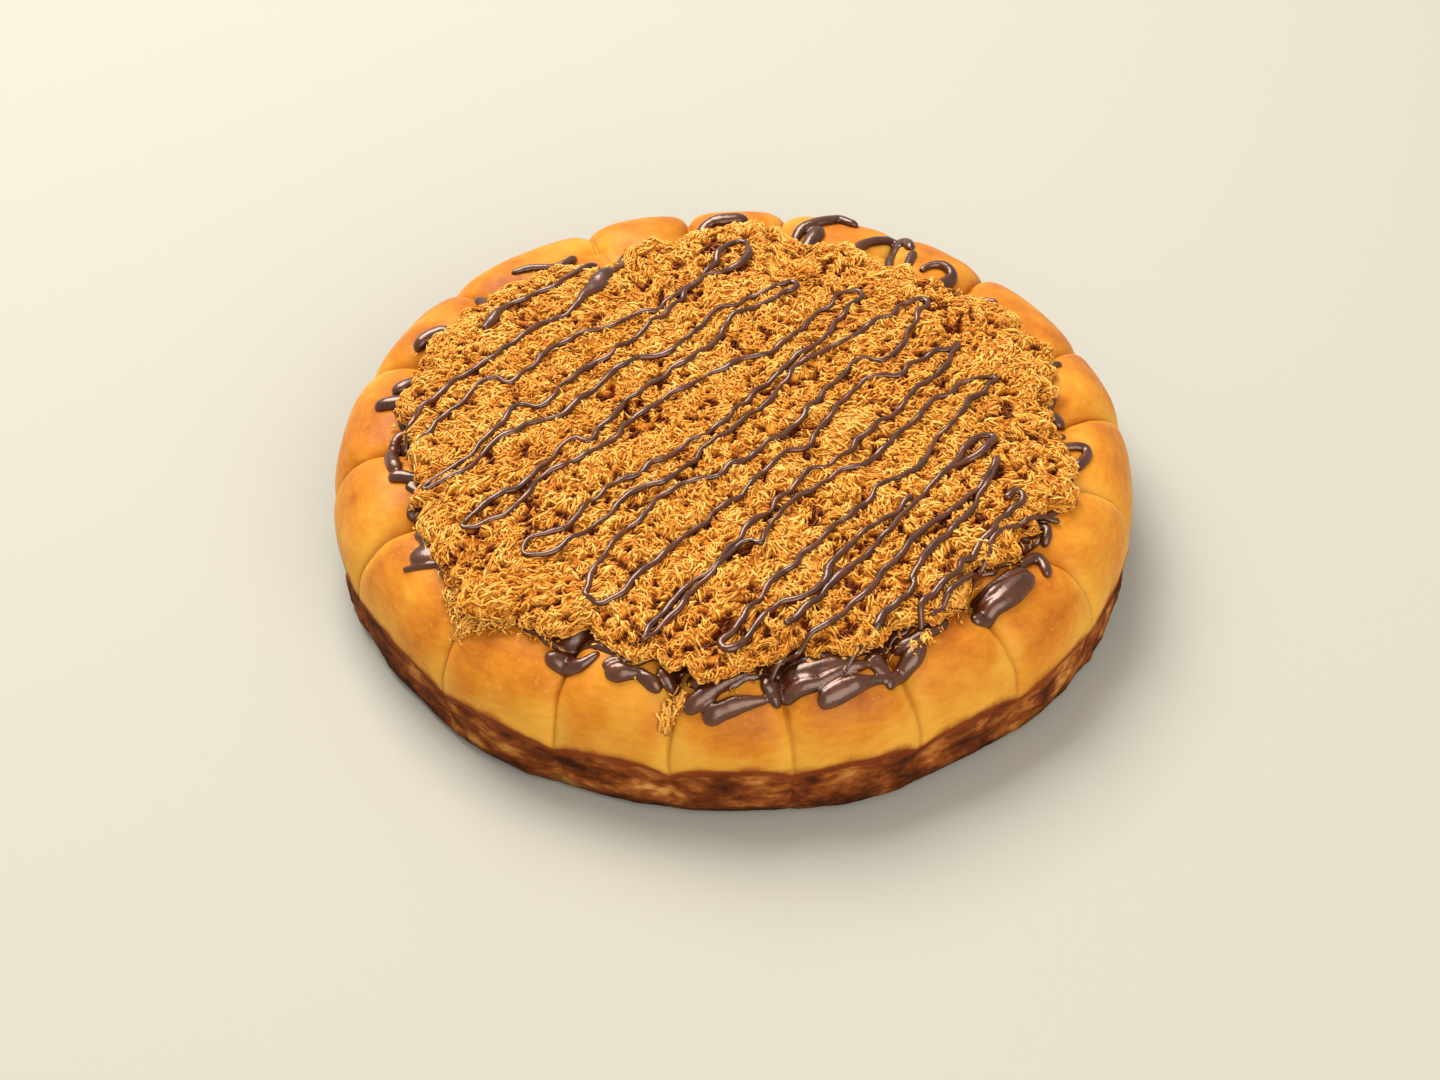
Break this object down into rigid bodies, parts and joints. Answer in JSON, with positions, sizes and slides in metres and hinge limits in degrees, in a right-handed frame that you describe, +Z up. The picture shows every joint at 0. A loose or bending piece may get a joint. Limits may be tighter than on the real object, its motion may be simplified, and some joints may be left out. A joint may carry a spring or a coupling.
{
  "type": "chocolate hazelnut honeycomb bun",
  "caption": "Round pull-apart bun with a ring of domed golden lobes, chocolate hazelnut spread, a heap of golden shredded floss and a chocolate drizzle.",
  "frame": {"origin": "middle of the flat underside", "axes": "+Z up through the bun, -Y towards the side seen in the picture, +X to the picture's right"},
  "size_m": [0.2391, 0.2389, 0.0544],
  "materials": {
    "crust": "soft golden baked crust, browner on the side",
    "chocolate": "glossy milk-brown chocolate hazelnut spread",
    "floss": "dry golden shreds under a milk-brown drizzle"
  },
  "bodies": {
    "root": {"bun": "crust", "spread": "chocolate", "floss": "floss"}
  },
  "joints": []
}
